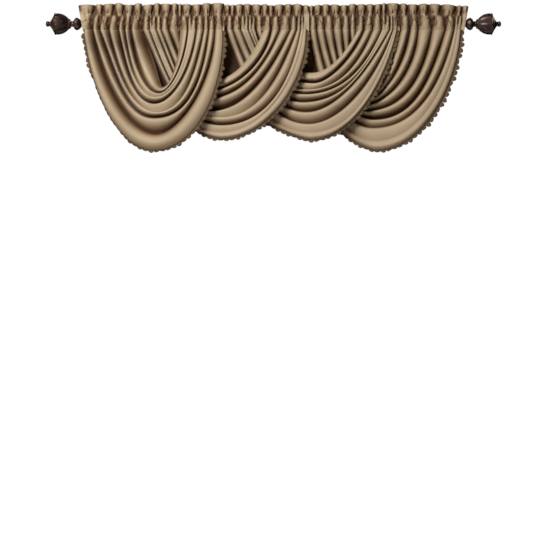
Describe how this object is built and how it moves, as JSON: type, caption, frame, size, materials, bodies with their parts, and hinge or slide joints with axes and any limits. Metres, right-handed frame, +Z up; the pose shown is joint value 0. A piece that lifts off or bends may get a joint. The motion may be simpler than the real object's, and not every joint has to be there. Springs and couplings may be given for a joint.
{
  "type": "arch valance and curtain rod",
  "caption": "Overlapping swags of gathered cloth with scalloped braid hems, gathered side by side on a rod with urn finials.",
  "frame": {"origin": "on the rod's axis, at the middle of its length", "axes": "+X along the rod, +Z up, -Y towards the room"},
  "size_m": [2.208, 0.1152, 0.717],
  "materials": {
    "cloth": "woven, soft sheen",
    "braid": "matt braid",
    "bronze": "satin"
  },
  "bodies": {
    "root": {"swag_1": "cloth", "swag_2": "cloth", "swag_3": "cloth", "swag_4": "cloth", "heading_1_left": "cloth", "heading_1_right": "cloth", "heading_2_left": "cloth", "heading_2_right": "cloth", "heading_3_left": "cloth", "heading_3_right": "cloth", "heading_4_left": "cloth", "heading_4_right": "cloth", "trim_1": "braid", "trim_2": "braid", "trim_3": "braid", "trim_4": "braid", "rod": "bronze", "finial_left": "bronze", "finial_right": "bronze"}
  },
  "joints": []
}
